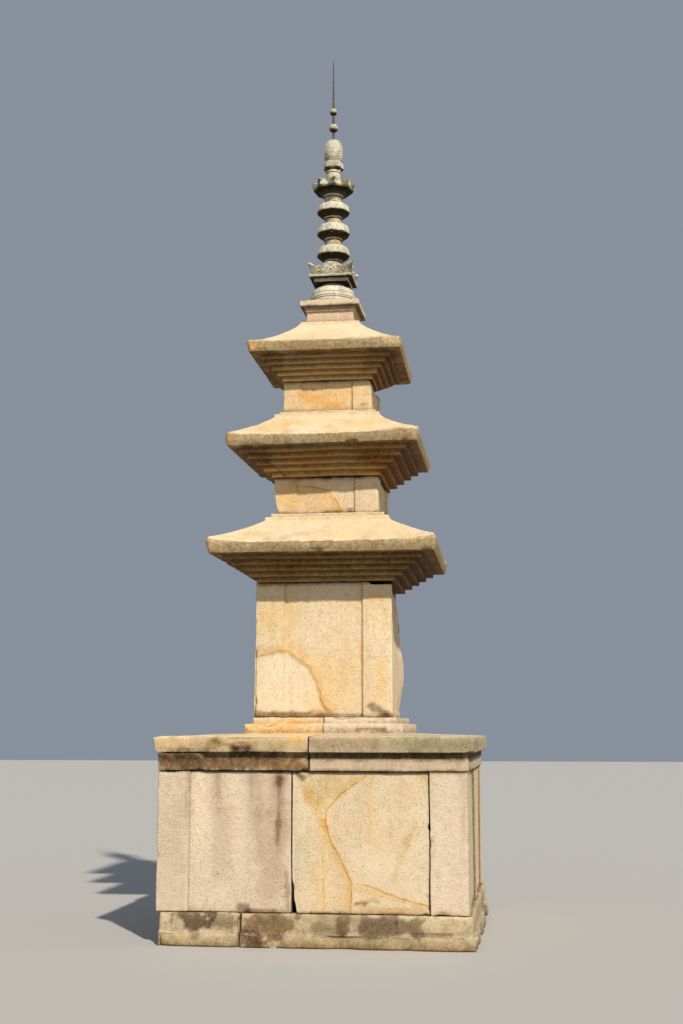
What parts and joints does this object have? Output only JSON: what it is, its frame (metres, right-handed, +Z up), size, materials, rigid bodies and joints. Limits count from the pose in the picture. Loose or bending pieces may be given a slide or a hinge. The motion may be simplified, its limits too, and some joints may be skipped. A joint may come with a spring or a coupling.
{
  "type": "three-storey stone pagoda",
  "caption": "Square granite pagoda on a tall base of upright slabs, with stepped roof stones and a carved finial threaded on an iron rod.",
  "frame": {"origin": "on the ground under the centre of the pagoda", "axes": "+Z up along the finial rod, -Y out of the front, +X to the right seen from the front"},
  "size_m": [2.3, 2.3, 7.03],
  "materials": {
    "granite_cream": "weathered rough-dressed granite with orange iron veins",
    "granite_pink": "clean pinkish-grey bush-hammered granite",
    "granite_stained": "granite stained brown and black near the ground",
    "granite_finial": "carved grey granite with lichen",
    "weathered_iron": "dull oxidised iron rod"
  },
  "bodies": {
    "root": {"plinth_front_left": "granite_stained", "plinth_front_right": "granite_stained", "plinth_right": "granite_stained", "plinth_back_right": "granite_stained", "plinth_back_left": "granite_stained", "plinth_left": "granite_stained", "base_front_left": "granite_pink", "base_front_right": "granite_cream", "base_corner_front_right": "granite_pink", "base_right_front": "granite_pink", "base_right_back": "granite_cream", "base_back_right": "granite_cream", "base_back_left": "granite_pink", "base_left_back": "granite_cream", "base_left_front": "granite_pink", "cap_front_left": "granite_cream", "cap_front_right": "granite_pink", "cap_back_right": "granite_pink", "cap_back_left": "granite_cream", "storey_1": "granite_cream", "storey_2": "granite_cream", "storey_3": "granite_cream", "roof_1": "granite_cream", "roof_2": "granite_cream", "roof_3": "granite_cream", "finial_base": "granite_cream", "inverted_bowl": "granite_finial", "bowl_neck": "granite_finial", "lotus_bracket": "granite_finial", "wheel_1": "granite_finial", "wheel_2": "granite_finial", "wheel_3": "granite_finial", "canopy": "granite_finial", "flame_neck": "granite_finial", "flame_bud": "granite_finial", "bead_lower": "granite_finial", "bead_upper": "granite_finial", "finial_rod": "weathered_iron"}
  },
  "joints": []
}
